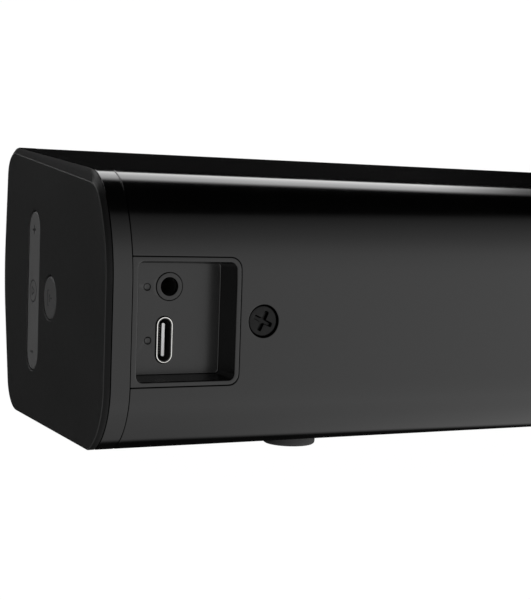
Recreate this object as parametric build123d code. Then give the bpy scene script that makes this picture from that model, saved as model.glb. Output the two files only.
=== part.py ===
from build123d import *
import os
from math import pi, sin, cos

# Compact soundbar. X runs along the bar, -Y is the front, +Z is up, and the feet stand on Z = 0.
# The key panel closes the +X end, and the ports are in the rear face beside it.

bar_length = 410.0
bar_depth = 72.0
foot_height = 2.5
shell_wall = 2.4
seam_gap = 0.1
ring_width = 5.3          # end ring, along X
front_edge_y = -27.0      # where the shell stops and the grille begins

rear_y = bar_depth / 2
end_x = bar_length / 2
seam_x = end_x - ring_width

# Cross-section corners (Y, Z) and the rounding at each.
base_z = foot_height
section_corners = [
    ((27.9, base_z), 0.0),      # rear, bottom: a crisp crease
    ((-31.2, base_z), 8.0),     # front, bottom
    ((-36.17, 31.5), 60.0),     # front, gently bowed
    ((-35.2, 61.45), 7.0),      # front, top
    ((28.1, 55.45), 13.0),      # rear, top
    ((36.0, 42.6), 29.0),       # rear, where the face turns upright
    ((36.0, 6.5), 14.4),        # rear, bottom
]

# The end plates' outer faces: flush at the back and below, drawn in at the top and front.
plate_corners = [
    ((27.9, base_z), 0.0),
    ((-27.5, base_z), 7.5),
    ((-33.3, 31.5), 60.0),
    ((-31.3, 60.0), 5.0),
    ((29.6, 52.9), 7.5),
    ((36.0, 42.6), 29.0),
    ((36.0, 6.5), 14.4),
]

# Ports
insert_x0, insert_x1 = 177.5, 199.36
insert_z0, insert_z1 = 15.4, 39.8
insert_corner = 2.0
recess_lip = 0.95
recess_depth = 6.7
tub_wall = 1.0
jack_x, jack_z = 189.65, 33.8
jack_bore_r, collar_r = 1.8, 2.65
usb_x, usb_z = 190.5, 23.5
usb_height, usb_width, usb_wall = 8.94, 3.26, 0.35
light_r = 0.7
light_places = [(194.2, 33.7), (193.8, 23.4)]

# Keys
plate_back_x = end_x - 1.5
panel_back_x = end_x - 2.2
ring_face_x = plate_back_x - 0.1
ledge_x = end_x - 2.7
panel_step = 2.15         # how far the panel's stepped back is drawn in, all round
key_gap = 0.35
rocker_y, rocker_z = -10.1, 30.0
rocker_length, rocker_width = 33.8, 8.2
button_y, button_z, button_r = 1.8, 29.4, 4.5
key_travel = 0.4
pin_x = end_x - 3.5
pin_r, pin_clearance = 0.6, 0.05

# Speakers
speaker_x, speaker_z = 118.0, 31.3
baffle_front, baffle_back = -24.0, -21.0
flange_r, baffle_hole_r = 24.4, 21.0
cone_r, coil_r = 16.8, 9.7
radiator_hole = (80.0, 38.0)
speaker_screw_r = 22.6
speaker_screw_places = [(speaker_screw_r * cos(turn), speaker_screw_r * sin(turn))
                        for turn in (pi / 4, 3 * pi / 4, 5 * pi / 4, 7 * pi / 4)]
radiator_screw_x = 43.0

# Fasteners and feet
rear_screw_xs = [-172.5, -58.0, 58.0, 172.5]
rear_screw_z = 27.6
post_places = [(x, z) for x in (72.0, 158.0) for z in (18.0, 43.0)]          # main board
boss_places = [(22.0, 7.6), (-14.0, 7.6), (-14.0, 54.2)]                     # end caps (Y, Z)
board_post_places = [(14.0, 16.0), (14.0, 46.0), (-19.0, 16.0), (-19.0, 46.0)]
counterbore_r, counterbore_depth = 3.2, 2.2
foot_r = 5.5
foot_places = [(x, y) for x in (-157.0, 157.0) for y in (-20.0, 18.2)]

parts = {}


def outline(corners):
    """A face in the sketch plane from rounded corners."""
    points, radii = zip(*corners)
    return make_face(FilletPolyline(*points, radius=list(radii), close=True))


full_outline = outline(section_corners)
to_end = Plane.YZ * Pos(-full_outline.center(CenterOf.BOUNDING_BOX).X, 0)


def section(inset=0.0):
    """The bar's cross-section, shrunk by inset, as a face on the YZ plane."""
    face = offset(full_outline, amount=-inset) if inset else full_outline
    return to_end * face


def slab(inset, x0, x1):
    """The shrunk cross-section, run from x0 to x1."""
    return extrude(Pos(x0, 0, 0) * section(inset), x1 - x0, dir=(1, 0, 0))


def block(x0, x1, y0, y1, z0, z1):
    return Pos((x0 + x1) / 2, (y0 + y1) / 2, (z0 + z1) / 2) * Box(x1 - x0, y1 - y0, z1 - z0)


def rod_x(x0, x1, y, z, r):
    return Pos((x0 + x1) / 2, y, z) * Rot(0, 90, 0) * Cylinder(r, x1 - x0)


def rod_y(x, y0, y1, z, r):
    return Pos(x, (y0 + y1) / 2, z) * Rot(90, 0, 0) * Cylinder(r, y1 - y0)


def rod_z(x, y, z0, z1, r):
    return Pos(x, y, (z0 + z1) / 2) * Cylinder(r, z1 - z0)


def tube_y(x, y0, y1, z, r_out, r_in):
    return rod_y(x, y0, y1, z, r_out) - rod_y(x, y0 - 1, y1 + 1, z, r_in)


def stadium_x(x0, x1, y, z, length, width):
    """A bar with rounded ends, standing along Z, run from x0 to x1."""
    shape = Plane.YZ * Rot(0, 0, 90) * SlotOverall(length, width)
    return extrude(Pos(x0, y, z) * shape, x1 - x0, dir=(1, 0, 0))


def stadium_y(x, y0, y1, z, length, width, upright=False):
    """A bar with rounded ends in the XZ plane, run from y0 to y1."""
    shape = Plane.XZ * Rot(0, 0, 90 if upright else 0) * SlotOverall(length, width)
    return extrude(Pos(x, y1, z) * shape, y1 - y0, dir=(0, -1, 0))


def turned_y(x, z, profile):
    """A solid turned about a Y-parallel axis through (x, z), from (radius, y) points."""
    face = make_face(Polyline(*[(r, y) for r, y in profile], close=True))
    return Pos(x, 0, z) * revolve(face, Axis.Y)


def screw(head_r, head_height, shank_r, length):
    """A cross-head screw, head up, with the head's seat on Z = 0."""
    head = Pos(0, 0, head_height / 2) * Cylinder(head_r, head_height)
    head = fillet(head.edges().group_by(Axis.Z)[-1], head_height * 0.3)
    slot = Box(head_r * 1.25, head_r * 0.32, head_height * 1.3)
    cross = slot + Rot(0, 0, 90) * slot
    shank = Pos(0, 0, -length / 2) * Cylinder(shank_r, length)
    tip = Pos(0, 0, -length - shank_r / 2) * Cone(shank_r * 0.3, shank_r, shank_r)
    return head + shank + tip - Pos(0, 0, head_height) * cross


def group(name, solids):
    """Several separate solids that share one node."""
    parts[name] = Compound(children=[s.solid() for s in solids])


# ---- casing ----

def make_rear_shell():
    outer = slab(0, -seam_x + seam_gap, seam_x - seam_gap)
    inner = slab(shell_wall, -end_x, end_x)
    front = block(-end_x, end_x, -60, front_edge_y, -5, 80)
    shell = outer - inner - front
    for x in rear_screw_xs:
        shell += rod_y(x, 29.0, rear_y - 1.0, rear_screw_z, 5.0)
    for x, z in post_places:
        shell += rod_y(x, 28.6, 34.2, z, 3.0) & slab(0.5, x - 5, x + 5)
    for side in (-1, 1):
        for y, z in boss_places:
            near, far = sorted((side * 176.0, side * 193.4))
            shell += rod_x(near, far, y, z, 3.2) & slab(0.5, near - 1, far + 1)
    for x in rear_screw_xs:
        shell -= rod_y(x, rear_y - counterbore_depth, rear_y + 2, rear_screw_z, counterbore_r)
        shell -= rod_y(x, 20, rear_y, rear_screw_z, 1.7)
    for x, z in post_places:
        shell -= rod_y(x, 24, 32.4, z, 1.25)
    for side in (-1, 1):
        for y, z in boss_places:
            near, far = sorted((side * 180.0, side * 194.0))
            shell -= rod_x(near, far, y, z, 1.3)
    for x, y in foot_places:
        shell -= rod_z(x, y, 0, foot_height + 1.0, foot_r + 0.1)
    shell -= block(insert_x0 - 0.1, end_x, 25, 40, insert_z0 - 0.1, insert_z1 + 0.1)
    return shell


def make_port_insert():
    """A flush frame that follows the rear face, with a deep tub behind it."""
    centre_x = (insert_x0 + insert_x1) / 2
    centre_z = (insert_z0 + insert_z1) / 2
    width, height = insert_x1 - insert_x0, insert_z1 - insert_z0
    blank = block(insert_x0, seam_x - seam_gap, 20, 40, insert_z0, insert_z1)
    near_corners = blank.edges().filter_by(Axis.Y).group_by(Axis.X)[0]
    blank = fillet(near_corners, insert_corner)
    frame = blank & slab(0, insert_x0 - 1, insert_x1 + 1)
    frame -= block(insert_x0 - 1, insert_x1 + 1, 10, rear_y - recess_depth - tub_wall, 0, 60)
    mouth = Plane.XZ * RectangleRounded(width - 2 * recess_lip, height - 2 * recess_lip, 1.2)
    recess = extrude(Pos(centre_x, rear_y + 0.8, centre_z) * mouth, recess_depth + 0.8,
                     dir=(0, -1, 0), taper=4)
    insert = frame - recess
    for z in (20.0, 37.0):
        insert += rod_y(180.8, 21.0, 28.6, z, 2.2)
        insert -= rod_y(180.8, 20.0, 26.6, z, 0.9)
    insert -= rod_y(jack_x, 26, 31, jack_z, collar_r + 0.05)
    insert -= stadium_y(usb_x, 26, 31, usb_z, usb_height + 0.16, usb_width + 0.16, upright=True)
    for x, z in light_places:
        insert -= rod_y(x, 26, 31, z, light_r + 0.03)
    return insert


def make_end_cap(side):
    """Ring, ledge for the panel, spigot and bulkhead in one moulding. side is +1 or -1."""
    cap = slab(0, seam_x, ring_face_x) - slab(panel_step - 0.15, ledge_x, end_x)
    cap -= slab(5.0, seam_x - 1, end_x)
    spigot = slab(shell_wall + 0.1, end_x - 11.4, seam_x) - slab(shell_wall + 1.5, end_x - 12, seam_x + 1)
    spigot -= block(end_x - 20, seam_x, -60, baffle_back + 10, 0, 80)
    bulkhead = slab(shell_wall + 0.1, end_x - 11.4, end_x - 10.0)
    bulkhead -= block(end_x - 20, seam_x, -60, baffle_back + 0.2, 0, 80)
    rail = slab(shell_wall + 0.1, end_x - 11.4, seam_x) & block(
        end_x - 20, seam_x, baffle_back + 0.2, baffle_back + 10, 50, 80)
    cap += spigot + bulkhead + rail
    for y, z in board_post_places:
        cap += rod_x(end_x - 10.2, end_x - 9.4, y, z, 2.5)
        cap -= rod_x(end_x - 15, end_x - 9, y, z, 0.9)
    for y, z in boss_places:
        cap -= rod_x(end_x - 15, end_x - 9, y, z, 1.6)
        cap -= rod_x(end_x - 10, end_x, y, z, 2.9)
    cap -= block(end_x - 20, seam_x - 0.01, 27.4, 40, insert_z0 - 1, insert_z1 + 1)
    cap = cap.solids().sort_by(SortBy.VOLUME)[-1]
    return cap if side > 0 else mirror(cap, Plane.YZ)


def make_panel(side):
    """A plate as large as the bar's section, whose back steps into the ring."""
    plate = loft([Pos(plate_back_x, 0, 0) * section(), Pos(end_x, 0, 0) * to_end * outline(plate_corners)],
                 ruled=True)
    panel = plate + slab(panel_step, panel_back_x, plate_back_x + 0.1)
    if side > 0:
        panel -= stadium_x(end_x - 5, end_x + 1, rocker_y, rocker_z,
                           rocker_length + 2 * key_gap, rocker_width + 2 * key_gap)
        panel -= rod_x(end_x - 5, end_x + 1, button_y, button_z, button_r + key_gap)
        return panel
    return mirror(panel, Plane.YZ)


def make_panel_gaskets():
    right = slab(panel_step + 0.2, ledge_x, panel_back_x) - slab(4.9, end_x - 3, end_x - 2)
    return [right, mirror(right, Plane.YZ)]


# ---- keys ----

def make_rocker():
    cap = stadium_x(end_x - 2.4, end_x, rocker_y, rocker_z, rocker_length, rocker_width)
    cap = fillet(cap.faces().sort_by(Axis.X)[-1].edges(), 0.5)
    rib = block(end_x - 4.6, end_x - 2.3, rocker_y - 2.4, rocker_y + 2.4, rocker_z - 2.2, rocker_z + 2.2)
    rocker = cap + rib
    for side in (-1, 1):
        rocker += rod_x(end_x - 5.6, end_x - 2.3, rocker_y, rocker_z + side * 13.0, 1.2)
    return rocker - rod_y(pin_x, rocker_y - 5, rocker_y + 5, rocker_z, pin_r + pin_clearance)


def make_rocker_carrier():
    """A sliding bridge whose two ears hold the rocker's pin."""
    bridge = block(end_x - 5.9, end_x - 5.1, rocker_y - 3.9, rocker_y + 3.9, rocker_z - 8, rocker_z + 8)
    for side in (-1, 1):
        y0, y1 = sorted((rocker_y + side * 2.7, rocker_y + side * 3.9))
        bridge += block(end_x - 5.2, end_x - 2.8, y0, y1, rocker_z - 1.6, rocker_z + 1.6)
    return bridge - rod_y(pin_x, rocker_y - 3.6, rocker_y + 3.6, rocker_z, pin_r)


def make_source_button():
    cap = rod_x(end_x - 2.4, end_x, button_y, button_z, button_r)
    cap = fillet(cap.faces().sort_by(Axis.X)[-1].edges(), 0.5)
    flange = rod_x(end_x - 3.0, end_x - 2.4, button_y, button_z, button_r + 0.7)
    stem = rod_x(end_x - 5.7, end_x - 2.9, button_y, button_z, 1.4)
    return cap + flange + stem


switch_places = [(rocker_y, rocker_z + 13.0), (rocker_y, rocker_z), (rocker_y, rocker_z - 13.0),
                 (button_y, button_z)]


def make_control_board():
    board = block(end_x - 9.4, end_x - 8.2, -22.0, 18.0, 12.0, 50.0)
    for y, z in board_post_places:
        board -= rod_x(end_x - 10, end_x - 8, y, z, 1.2)
    return board


def make_switches():
    switches = []
    for y, z in switch_places:
        base = block(end_x - 8.2, end_x - 7.1, y - 2.4, y + 2.4, z - 2.4, z + 2.4)
        switches.append(base + rod_x(end_x - 7.2, end_x - 6.7, y, z, 1.1))
    return switches


# ---- ports ----

def make_jack_body():
    body = block(jack_x - 3.2, jack_x + 3.2, 15.0, rear_y - recess_depth - tub_wall, jack_z - 3.2, jack_z + 3.2)
    return body - rod_y(jack_x, 16.2, 40, jack_z, jack_bore_r)


def make_jack_contacts():
    contacts = []
    for side in (-1, 1):
        x0, x1 = sorted((jack_x + side * 3.2, jack_x + side * 3.5))
        for y in (17.0, 23.2):
            contacts.append(block(x0, x1, y, y + 1.2, jack_z - 2.4, jack_z + 1.5))
    return contacts


def make_usb_shell():
    y0, y1 = 21.0, rear_y - recess_depth + 0.4
    shell = stadium_y(usb_x, y0, y1, usb_z, usb_height, usb_width, upright=True)
    return shell - stadium_y(usb_x, y0 + 0.4, y1 + 1, usb_z, usb_height - 2 * usb_wall,
                             usb_width - 2 * usb_wall, upright=True)


def make_usb_tongue():
    base = stadium_y(usb_x, 21.4, 22.6, usb_z, usb_height - 2 * usb_wall - 0.1,
                     usb_width - 2 * usb_wall - 0.1, upright=True)
    return base + block(usb_x - 0.36, usb_x + 0.36, 22.5, 28.8, usb_z - 3.2, usb_z + 3.2)


def make_port_board():
    board = block(178.8, 193.2, 19.4, 21.0, 17.0, 40.0)
    board -= block(jack_x - 3.6, jack_x + 3.6, 18, 22, jack_z - 3.3, jack_z + 3.3)
    for z in (20.0, 37.0):
        board -= rod_y(180.8, 18, 22, z, 1.1)
    return board


# ---- speakers ----

def make_basket(x):
    """Flange in front of the baffle, a tapered windowed frame behind it and a seat for the magnet."""
    flange = tube_y(x, baffle_front - 1.8, baffle_front - 0.4, speaker_z, flange_r, 20.2)
    frame = turned_y(x, speaker_z, [(19.3, baffle_front - 1.8), (20.6, baffle_front - 1.8),
                                    (17.4, -7.8), (11.2, -7.8), (11.2, -9.0), (16.4, -9.0)])
    window = Box(11, 9.5, 60)
    for turn in (45, 135):
        frame -= Pos(x, -15.8, speaker_z) * Rot(0, turn, 0) * window
    basket = flange + frame
    for dx, dz in speaker_screw_places:
        basket -= rod_y(x + dx, -30, -20, speaker_z + dz, 1.0)
    return basket


def make_speaker_gasket(x):
    gasket = tube_y(x, baffle_front - 0.4, baffle_front, speaker_z, 24.2, 21.1)
    for dx, dz in speaker_screw_places:
        gasket -= rod_y(x + dx, -25, -23, speaker_z + dz, 1.0)
    return gasket


def make_cone(x):
    return turned_y(x, speaker_z, [(coil_r + 0.1, -15.0), (cone_r, -23.6), (cone_r, -24.3), (coil_r + 0.1, -15.8)])


def make_dust_cap(x):
    rise, rim = 3.2, coil_r
    ball_r = (rim * rim + rise * rise) / (2 * rise)
    centre = -15.9 - rise + ball_r
    shell = Sphere(ball_r) - Sphere(ball_r - 0.4)
    keep = Pos(0, rise / 2 - ball_r, 0) * Box(60, rise, 60)
    return Pos(x, centre, speaker_z) * (shell & keep)


def make_voice_coil(x):
    former = tube_y(x, -14.9, -3.6, speaker_z, coil_r, 9.4)
    winding = tube_y(x, -9.5, -3.6, speaker_z, 10.25, coil_r - 0.01)
    return former + winding


def make_surround(x):
    """A half-roll ring between cone and flange."""
    r0, r1 = cone_r + 0.3, 20.95
    crest = (r0 + r1) / 2
    return turned_y(x, speaker_z, [
        (r0, -25.9), (r0, -26.4), (r0 + 0.7, -27.6), (crest, -28.1), (r1 - 0.7, -27.6), (r1, -26.3),
        (r1, -25.82), (r1 - 0.6, -25.82), (r1 - 1.1, -27.1), (crest, -27.6), (r0 + 1.1, -27.1), (r0 + 0.5, -25.9)])


def make_spider(x):
    """A corrugated cloth disc that centres the voice coil."""
    rings = [10.6, 11.6, 12.6, 13.6, 14.6, 15.6]
    top = [(r, -12.2 + 0.5 * (i % 2)) for i, r in enumerate(rings)]
    bottom = [(r, y + 0.4) for r, y in reversed(top)]
    return turned_y(x, speaker_z, top + bottom)


def make_baffle():
    plate = slab(shell_wall + 0.15, -end_x + 12.5, end_x - 12.5) & block(
        -end_x, end_x, baffle_front, baffle_back, 0, 80)
    lip = slab(shell_wall + 0.15, -end_x + 12.5, end_x - 12.5) - slab(shell_wall + 1.4, -end_x, end_x)
    lip &= block(-end_x, end_x, front_edge_y, baffle_front + 0.1, 0, 80)
    baffle = plate + lip
    for x in rear_screw_xs:
        baffle += rod_y(x, baffle_back - 0.1, 28.8, rear_screw_z, 4.0)
        baffle -= rod_y(x, 0, 30, rear_screw_z, 1.55)
    for x in (-speaker_x, speaker_x):
        baffle -= rod_y(x, -30, -15, speaker_z, baffle_hole_r)
        for dx, dz in speaker_screw_places:
            baffle -= rod_y(x + dx, -25, -20, speaker_z + dz, 0.9)
    baffle -= stadium_y(0, -30, -15, speaker_z, *radiator_hole)
    for x in (-radiator_screw_x, radiator_screw_x):
        baffle -= rod_y(x, -25, -20, speaker_z, 0.9)
    return baffle


def make_radiator_frame():
    frame = stadium_y(0, -26.4, baffle_front, speaker_z, 92, 48) - stadium_y(0, -30, -20, speaker_z, 78, 36)
    for x in (-radiator_screw_x, radiator_screw_x):
        frame -= rod_y(x, -30, -20, speaker_z, 1.1)
    return frame


def make_radiator_surround():
    base = stadium_y(0, -27.0, -26.4, speaker_z, 82, 40) - stadium_y(0, -30, -20, speaker_z, 66.8, 24.8)
    roll = stadium_y(0, -28.6, -27.0, speaker_z, 76, 34) - stadium_y(0, -30, -20, speaker_z, 69, 27)
    return base + roll


# ---- electronics and power ----

main_board_x0, main_board_x1 = 66.0, 164.0
main_board_z0, main_board_z1 = 14.0, 47.0
main_board_front, main_board_back = 27.0, 28.6
cell_r, cell_length = 9.2, 65.2
cell_places = [(16.5, 16.4), (-3.5, 16.4)]


def make_main_board():
    board = block(main_board_x0, main_board_x1, main_board_front, main_board_back, main_board_z0, main_board_z1)
    for x, z in post_places:
        board -= rod_y(x, 25, 30, z, 1.6)
    return board


def make_chips():
    places = [(96, 30, 12, 1.6), (124, 36, 9, 1.4), (146, 24, 7, 1.2), (84, 38, 6, 1.2)]
    return [block(x - w / 2, x + w / 2, main_board_front - t, main_board_front, z - w / 2, z + w / 2)
            for x, z, w, t in places]


def make_capacitors():
    places = [(110, 40, 4.0), (110, 30, 4.0), (136, 40, 3.2), (150, 36, 3.2)]
    return [rod_y(x, main_board_front - 11.0, main_board_front, z, r) for x, z, r in places]


def make_heat_sink():
    front = main_board_front - 1.6
    sink = block(88, 104, front - 2.0, front, 22, 38)
    for i in range(5):
        x = 88 + i * 3.7
        sink += block(x, x + 1.2, front - 9.0, front - 1.9, 22, 38)
    return sink


def make_board_sockets():
    return [block(x, x + 9.0, main_board_front - 6.0, main_board_front, 15.5, 20.5) for x in (78, 118, 134)]


def make_battery_holder():
    """A cradle with a round trough under each cell and a stop at each end."""
    tray = block(-36, 36, -13.5, 26.5, base_z + shell_wall + 0.05, 17.0)
    tray &= slab(shell_wall + 0.1, -40, 40)
    for y, z in cell_places:
        tray -= rod_x(-cell_length / 2 - 0.4, cell_length / 2 + 0.4, y, z, cell_r + 0.15)
    return tray


def make_cell(y, z):
    cell = rod_x(-cell_length / 2, cell_length / 2 - 1.2, y, z, cell_r)
    return cell + rod_x(cell_length / 2 - 1.3, cell_length / 2, y, z, 3.2)


def make_lead(points, bends):
    """An insulated pair, run along straight stretches with rounded turns."""
    path = FilletPolyline(*points, radius=bends)
    start = Plane(origin=path @ 0, z_dir=path % 0)
    return sweep(start * Circle(1.1), path=path)


def make_leads():
    leads = []
    leads.append(make_lead([(122.5, 20.8, 18.0), (122.5, 14.0, 18.0), (122.5, 14.0, 9.0), (122.5, -14.0, 9.0)], [3, 4]))
    leads.append(make_lead([(82.5, 20.8, 18.0), (82.5, 10.0, 18.0), (82.5, 10.0, 8.2), (44.0, 10.0, 8.2),
                            (44.0, -17.0, 8.2), (-104.0, -17.0, 8.2)], [4, 4, 8, 8]))
    leads.append(make_lead([(138.5, 20.8, 18.0), (138.5, 12.0, 18.0), (180.0, 12.0, 18.0)], [5]))
    return leads


# ---- fasteners and feet ----

def make_rear_screws():
    template = screw(3.05, 1.8, 1.5, 14.0)
    places = [(x, 16.0 + 3.0 * i) for i, x in enumerate(rear_screw_xs)]
    seat = rear_y - counterbore_depth
    return [Pos(x, seat, rear_screw_z) * Rot(-90, 0, 0) * Rot(0, 0, turn) * template for x, turn in places]


def make_board_screws():
    template = screw(2.4, 1.5, 1.2, 4.0)
    screws = [Pos(x, main_board_front, z) * Rot(90, 0, 0) * template for x, z in post_places]
    small = screw(1.7, 1.2, 0.85, 4.0)
    screws += [Pos(180.8, 19.4, z) * Rot(90, 0, 0) * small for z in (20.0, 37.0)]
    screws += [Pos(end_x - 8.2, y, z) * Rot(0, 90, 0) * small for y, z in board_post_places]
    return screws


def make_cap_screws():
    template = screw(2.6, 1.6, 1.25, 10.0)
    screws = []
    for y, z in boss_places:
        screws.append(Pos(end_x - 10.0, y, z) * Rot(0, 90, 0) * template)
        screws.append(Pos(-end_x + 10.0, y, z) * Rot(0, -90, 0) * template)
    return screws


def make_speaker_screws():
    template = screw(1.5, 1.2, 0.85, 3.6)
    seats = [(x + dx, baffle_front - 1.8, speaker_z + dz)
             for x in (-speaker_x, speaker_x) for dx, dz in speaker_screw_places]
    seats += [(x, baffle_front - 2.4, speaker_z) for x in (-radiator_screw_x, radiator_screw_x)]
    return [Pos(*seat) * Rot(90, 0, 0) * template for seat in seats]


def make_foot(x, y):
    foot = rod_z(x, y, 0, foot_height + 1.0, foot_r)
    return fillet(foot.edges().group_by(Axis.Z)[0], 0.6)


# ---- casing calls ----

parts["rear_shell"] = make_rear_shell()
parts["port_insert"] = make_port_insert()
parts["right_end_cap"] = make_end_cap(1)
parts["left_end_cap"] = make_end_cap(-1)
parts["key_panel"] = make_panel(1)
parts["left_panel"] = make_panel(-1)
group("panel_gaskets", make_panel_gaskets())

grille_slab = slab(0, -seam_x + seam_gap, seam_x - seam_gap) - slab(1.0, -end_x, end_x)
parts["front_grille"] = grille_slab & block(-end_x, end_x, -60, front_edge_y - 0.2, -5, 80)
cloth_slab = slab(1.05, -seam_x + 0.4, seam_x - 0.4) - slab(1.4, -end_x, end_x)
parts["grille_cloth"] = cloth_slab & block(-end_x, end_x, -60, front_edge_y - 1.2, -5, 80)
frame_slab = slab(1.45, -seam_x + 0.4, seam_x - 0.4) - slab(shell_wall + 0.1, -end_x, end_x)
frame_slab &= block(-end_x, end_x, -60, front_edge_y - 0.1, -5, 80)
parts["grille_frame"] = frame_slab - block(-end_x + 11, end_x - 11, -60, -31, 12, 52)

parts["volume_rocker"] = make_rocker()
parts["rocker_carrier"] = make_rocker_carrier()
parts["rocker_pin"] = rod_y(pin_x, rocker_y - 3.6, rocker_y + 3.6, rocker_z, pin_r)
parts["source_button"] = make_source_button()
parts["control_board"] = make_control_board()
group("key_switches", make_switches())

parts["jack_collar"] = tube_y(jack_x, rear_y - recess_depth - tub_wall, rear_y - recess_depth + 0.1,
                              jack_z, collar_r, jack_bore_r)
parts["jack_body"] = make_jack_body()
group("jack_contacts", make_jack_contacts())
parts["usb_c_shell"] = make_usb_shell()
parts["usb_c_tongue"] = make_usb_tongue()
group("status_lights", [rod_y(x, 27.4, 29.5, z, light_r) for x, z in light_places])
parts["port_board"] = make_port_board()

parts["front_baffle"] = make_baffle()
group("speaker_gaskets", [make_speaker_gasket(x) for x in (-speaker_x, speaker_x)])
group("speaker_baskets", [make_basket(x) for x in (-speaker_x, speaker_x)])
group("magnet_plates", [tube_y(x, -7.8, -4.8, speaker_z, 16.0, 10.8) for x in (-speaker_x, speaker_x)])
group("magnets", [tube_y(x, -4.8, 3.2, speaker_z, 17.0, 11.2) for x in (-speaker_x, speaker_x)])
group("magnet_yokes", [rod_y(x, 3.2, 6.2, speaker_z, 16.0) + rod_y(x, -7.8, 3.3, speaker_z, 8.9)
                       for x in (-speaker_x, speaker_x)])
group("spiders", [make_spider(x) for x in (-speaker_x, speaker_x)])
group("surrounds", [make_surround(x) for x in (-speaker_x, speaker_x)])
for name, x in (("left", -speaker_x), ("right", speaker_x)):
    parts[name + "_cone"] = make_cone(x)
    parts[name + "_dust_cap"] = make_dust_cap(x)
    parts[name + "_voice_coil"] = make_voice_coil(x)

parts["radiator_frame"] = make_radiator_frame()
parts["radiator_surround"] = make_radiator_surround()
parts["radiator_plate"] = stadium_y(0, -26.8, -24.8, speaker_z, 66, 24)
parts["radiator_weight"] = rod_y(0, -24.8, -21.6, speaker_z, 9.0)

parts["main_board"] = make_main_board()
group("board_chips", make_chips())
group("capacitors", make_capacitors())
group("board_sockets", make_board_sockets())
parts["heat_sink"] = make_heat_sink()
parts["battery_holder"] = make_battery_holder()
group("battery_cells", [make_cell(y, z) for y, z in cell_places])
parts["radio_antenna"] = block(-96, -64, 31.6, 32.6, 22, 32)
group("internal_leads", make_leads())

group("rear_screws", make_rear_screws())
group("board_screws", make_board_screws())
group("end_cap_screws", make_cap_screws())
group("speaker_screws", make_speaker_screws())
group("rubber_feet", [make_foot(x, y) for x, y in foot_places])

os.makedirs("parts", exist_ok=True)
for name, shape in parts.items():
    export_step(shape, f"parts/{name}.step")
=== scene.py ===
import bmesh
import bpy
import numpy as np
from math import atan2, cos, pi, radians, sin, tan
from mathutils import Matrix, Vector
from mathutils.geometry import delaunay_2d_cdt


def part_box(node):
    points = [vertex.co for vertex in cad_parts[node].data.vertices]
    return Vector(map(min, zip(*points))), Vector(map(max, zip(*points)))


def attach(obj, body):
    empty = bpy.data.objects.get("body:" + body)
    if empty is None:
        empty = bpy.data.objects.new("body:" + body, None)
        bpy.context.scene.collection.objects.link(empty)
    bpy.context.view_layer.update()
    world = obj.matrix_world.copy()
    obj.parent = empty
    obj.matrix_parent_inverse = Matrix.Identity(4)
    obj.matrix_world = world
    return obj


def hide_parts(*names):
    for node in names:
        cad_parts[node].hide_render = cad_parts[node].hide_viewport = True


# Compact soundbar. Shapes are in millimetres and become metres as a mesh is made; the camera is in metres.
# X runs along the bar, -Y is the listening side, and the keys and the ports are at the +X end.

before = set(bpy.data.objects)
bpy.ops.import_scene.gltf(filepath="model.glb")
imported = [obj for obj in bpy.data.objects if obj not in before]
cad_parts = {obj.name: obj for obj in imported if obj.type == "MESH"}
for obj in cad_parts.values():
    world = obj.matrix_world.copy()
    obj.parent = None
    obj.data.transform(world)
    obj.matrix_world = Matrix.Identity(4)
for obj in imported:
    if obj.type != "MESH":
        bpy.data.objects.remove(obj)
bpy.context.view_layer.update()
mm = 0.001


def boxOf(node):
    low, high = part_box(node)
    return np.array(low) / mm, np.array(high) / mm


def faceOf(node):
    # middle and size of a node seen along Y
    low, high = boxOf(node)
    return ((low + high) / 2)[[0, 2]], (high - low)[[0, 2]]


shaping = {"seedGap": 0.6, "weld": 1e-7, "sliver": 1e-8, "sharpAngle": 50, "miterLimit": 0.2}  # gap in mm, rest in m


def bend(corners, radii, steps=8, closed=False):
    # each corner becomes an arc: centre = corner + bisector * r / sin(half angle), tangent to both sides
    corners = np.array(corners, float)
    count = len(corners)
    which = range(count) if closed else range(1, count - 1)
    rows = [] if closed else [corners[:1]]
    for i, radius in zip(which, radii):
        here = corners[i]
        back = corners[i - 1] - here
        ahead = corners[(i + 1) % count] - here
        back = back / np.linalg.norm(back)
        ahead = ahead / np.linalg.norm(ahead)
        half = np.arccos(np.clip(back @ ahead, -1, 1)) / 2
        middle = (back + ahead) / max(np.linalg.norm(back + ahead), 1e-9)
        centre = here + middle * radius / sin(half)
        start = here + back * radius / tan(half) - centre
        end = here + ahead * radius / tan(half) - centre
        first = atan2(start[1], start[0])
        sweep = (atan2(end[1], end[0]) - first + pi) % (2 * pi) - pi
        turn = first + np.linspace(0, 1, steps + 1) * sweep
        rows.append(centre + radius * np.stack([np.cos(turn), np.sin(turn)], 1))
    if not closed:
        rows.append(corners[-1:])
    return np.vstack(rows)


def loopOf(points):
    # a closed loop as its points and the edges between them
    points = np.asarray(points, float)
    index = np.arange(len(points))
    return points, np.stack([index, np.roll(index, -1)], 1)


def circle(centre, radius, steps=48):
    # centre + r (cos t, sin t)
    turn = np.linspace(0, 2 * pi, steps, endpoint=False)
    return loopOf(np.array(centre) + radius * np.stack([np.cos(turn), np.sin(turn)], 1))


def roundedBox(low, high, radii, steps=8):
    # a rectangle whose four corners are arcs
    corners = [(low[0], low[1]), (high[0], low[1]), (high[0], high[1]), (low[0], high[1])]
    return loopOf(bend(corners, radii, steps, closed=True))


def stadium(centre, size, steps=24):
    # a box whose corner radius is nearly half its narrow side
    size = np.array(size) / 2
    radius = min(size) * 0.9999
    return roundedBox(centre - size, centre + size, [radius] * 4, steps // 2)


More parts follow.
